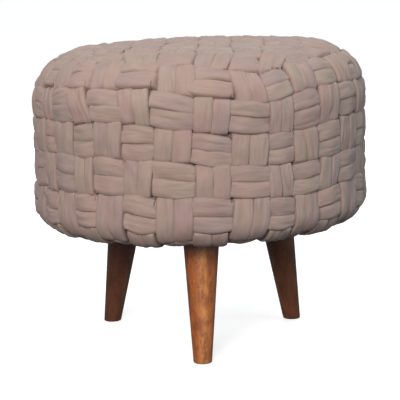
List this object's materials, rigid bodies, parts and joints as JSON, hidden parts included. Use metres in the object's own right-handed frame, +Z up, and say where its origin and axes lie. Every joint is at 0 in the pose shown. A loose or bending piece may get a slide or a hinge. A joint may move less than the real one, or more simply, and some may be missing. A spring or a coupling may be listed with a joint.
{
  "type": "footstool",
  "caption": "Round footstool: a drum seat covered in a basket weave of padded cloth strips, on short splayed tapered wooden legs.",
  "frame": {"origin": "on the floor, under the middle of the footstool", "axes": "+Z up, +Y from the front leg towards the back, +X to the right as seen from the front"},
  "size_m": [0.4302, 0.4307, 0.3899],
  "materials": {
    "cloth": "matte cotton, mauve-taupe",
    "wood": "satin varnished, orange-brown"
  },
  "bodies": {
    "root": {"woven_seat": "cloth", "leg_front": "wood", "leg_right": "wood", "leg_left": "wood"}
  },
  "joints": []
}
